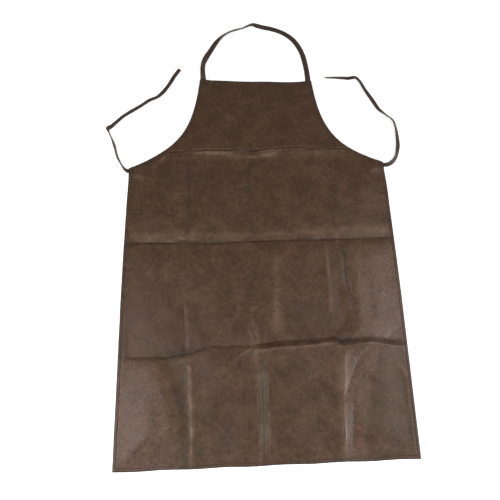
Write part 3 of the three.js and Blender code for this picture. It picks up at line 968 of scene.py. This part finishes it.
def add_sheet():
    x, y = sheet_grid()
    front, back = sheet_heights(x, y)
    laid_x, laid_y = lay(x, y)
    rows, columns = x.shape
    number = np.arange(rows * columns).reshape(rows, columns)
    rim = np.zeros((rows, columns), bool)
    rim[0, :] = rim[-1, :] = rim[:, 0] = rim[:, -1] = True
    under = number.copy()
    under[~rim] = rows * columns + np.arange((~rim).sum())
    top = np.stack([laid_x, laid_y, front], axis=2).reshape(-1, 3)
    bottom = np.stack([laid_x, laid_y, back], axis=2)[~rim]
    quads_up = np.stack([number[:-1, :-1], number[:-1, 1:], number[1:, 1:], number[1:, :-1]], axis=2)
    quads_down = np.stack([under[:-1, :-1], under[1:, :-1], under[1:, 1:], under[:-1, 1:]], axis=2)
    faces = np.concatenate([quads_up.reshape(-1, 4), quads_down.reshape(-1, 4)])
    sheet = new_object("apron_leather", np.vstack([top, bottom]), faces, [LEATHER, SUEDE])
    edge = edge_distance(x, y)
    # The back lies deeper in the leather's noise, so that it doesn't repeat the front
    flat = np.stack([x, y, 0 * x], axis=2)
    places = np.vstack([flat.reshape(-1, 3), flat[~rim] + [0, 0, 0.05]])
    store_vector(sheet, "rest_place", places)
    edges = np.concatenate([edge.ravel(), edge[~rim]]) / (20 * MM)
    store_number(sheet, "edge_distance", edges)
    # Painted highlights and shade along the creases and bands, on the front only
    wear_and_painted_light = crease_wear_and_painted_light(x, y)
    store_number(sheet, "crease_wear_and_painted_light", np.concatenate([wear_and_painted_light.ravel(), 0 * wear_and_painted_light[~rim]]))
    # The patches' share, for their painted sheen and lower roughness
    rubbed_and_sheen = sum(patch_shares(x, y, 12 * MM))
    store_number(sheet, "rubbed_and_sheen", np.concatenate([rubbed_and_sheen.ravel(), 0 * rubbed_and_sheen[~rim]]))
    # The back is suede, except the turned hem, which shows the front of the leather
    middle_edge = (edge[:-1, :-1] + edge[1:, 1:]) / 2
    behind = (middle_edge > HEM_WIDTH).ravel().astype(int)
    material = np.concatenate([np.zeros(len(behind), int), behind])
    sheet.data.polygons.foreach_set("material_index", material)
    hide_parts("panel_lower", "panel_upper")
    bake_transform(sheet)
    line = outline()


# --- stitches and bartacks ---

def line_sample(line, at):
    along = line_places(line)
    return np.interp(at, along, line[:, 0]), np.interp(at, along, line[:, 1])


def thread_tube(points, radius):
    """Vertices of rings round a short thread through points."""
    way = np.gradient(points, axis=0)
    way /= np.linalg.norm(way, axis=1, keepdims=True)
    across = np.cross([0, 0, 1.0], way)
    across /= np.linalg.norm(across, axis=1, keepdims=True)
    up = np.cross(way, across)
    turns = np.linspace(0, 2 * math.pi, THREAD_SIDES, endpoint=False)
    rings = []
    for k, point in enumerate(points):
        spoke = np.outer(np.cos(turns), across[k]) + np.outer(np.sin(turns), up[k])
        rings.append(point + radius * spoke)
    return np.vstack(rings)


def stitch_run(name, line, nodes):
    """Separate stitches along a line of the flat cut, each arching out of one hole into the next."""
    length = line_places(line)[-1]
    count = int(length / STITCH_PITCH)
    first = (length - (count - 1) * STITCH_PITCH) / 2
    arch = np.linspace(-1, 1, 7)
    vertices, faces = [], []
    for k in range(count):
        at = first + k * STITCH_PITCH + arch * STITCH_LENGTH / 2
        x, y = line_sample(line, at)
        rise = 0.30 * MM - 0.90 * MM * np.abs(arch)**3
        points = np.column_stack([*lay(x, y), front_height(x, y) + rise])
        tube = tube_faces(len(arch), THREAD_SIDES)
        faces += [tuple(i + len(vertices) for i in face) for face in tube]
        vertices.extend(thread_tube(points, THREAD_DIAMETER / 2))
    run = new_object(name, vertices, faces, [THREAD])
    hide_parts(*nodes)
    return run


def bartack_piece(name, centre, along):
    """A dense zigzag of thread across a strap's sewn end."""
    count = 15
    reach = np.linspace(-4.5, 4.5, count) * MM
    swing = 0.9 * MM * (-1.0)**np.arange(count)
    across = np.array([-along[1], along[0]])
    flat = centre + np.outer(reach, along) + np.outer(swing, across)
    x, y = flat.T
    points = np.column_stack([*lay(x, y), front_height(x, y) + 0.2 * MM])
    tack = new_object(name, thread_tube(points, 0.42 * MM), tube_faces(count, THREAD_SIDES), [THREAD])
    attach(tack, "upper_panel")
    return tack


def add_threads():
    sides_in = HALF_WIDTH - SEAM_INSET
    hem = np.array([[-sides_in, HEM_Y + SEAM_INSET], [sides_in, HEM_Y + SEAM_INSET]])
    top_reach = half_width(np.array([BIB_Y - SEAM_INSET]), SEAM_INSET)[0]
    top = np.array([[-top_reach, BIB_Y - SEAM_INSET], [top_reach, BIB_Y - SEAM_INSET]])
    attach(stitch_run("bottom_hem_stitches", hem, ["bottom_hem_seam"]), "lower_panel")
    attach(stitch_run("bib_top_stitches", top, ["bib_top_seam"]), "upper_panel")
    armhole = armhole_line(SEAM_INSET)
    armhole = armhole[armhole[:, 0] < sides_in]
    for side, sign in (("left", -1), ("right", 1)):
        edge = np.array([[sign * sides_in, HEM_Y + SEAM_INSET], [sign * sides_in, armhole[0, 1]]])
        nodes = [f"{side}_side_seam_lower", f"{side}_side_seam_upper"]
        run = stitch_run(f"{side}_side_stitches", edge, nodes)
        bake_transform(run)
        curve = armhole * [sign, 1]
        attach(stitch_run(f"{side}_armhole_stitches", curve, [f"{side}_armhole_seam"]), "upper_panel")
        for node, along in ((f"neck_strap_{side}_bartack", (1, 0)), (f"{side}_tie_bartack", (0, 1))):
            low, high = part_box(node)
            centre = np.array([(low[0] + high[0]) / 2, (low[1] + high[1]) / 2])
            tack = bartack_piece(f"{node}_thread", centre, np.array(along, float))
            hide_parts(node)


add_camera()
add_neck_strap()
add_tie("left", -1, LEFT_TIE_ROUTE, LEFT_TIE_SLIP, 21)
add_tie("right", 1, RIGHT_TIE_ROUTE, RIGHT_TIE_SLIP, 31)
add_sheet()
add_threads()
add_studio()
